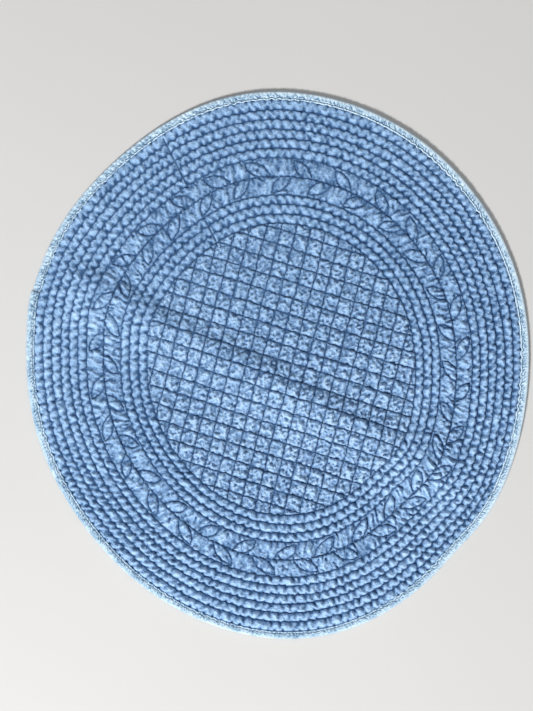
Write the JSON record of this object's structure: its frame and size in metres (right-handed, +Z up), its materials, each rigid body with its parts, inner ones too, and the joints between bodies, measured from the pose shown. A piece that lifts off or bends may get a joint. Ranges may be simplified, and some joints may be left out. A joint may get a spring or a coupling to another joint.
{
  "type": "fabric placemat",
  "caption": "Round quilted cloth placemat with stitched rounds, a band of leaves, a squared middle and a narrow bound edge.",
  "frame": {"origin": "on the table, under the middle of the mat's box", "axes": "+Z up out of the table, +Y along the mat's slightly longer width, +X across it"},
  "size_m": [0.3662, 0.3988, 0.0073],
  "materials": {
    "quilted_cloth": "washed blue quilted cotton, matt, paler on the raised puffs",
    "binding_cloth": "faded pale blue cotton bias strip, matt"
  },
  "bodies": {
    "root": {"quilted_mat": "quilted_cloth", "edge_binding": "binding_cloth"}
  },
  "joints": []
}
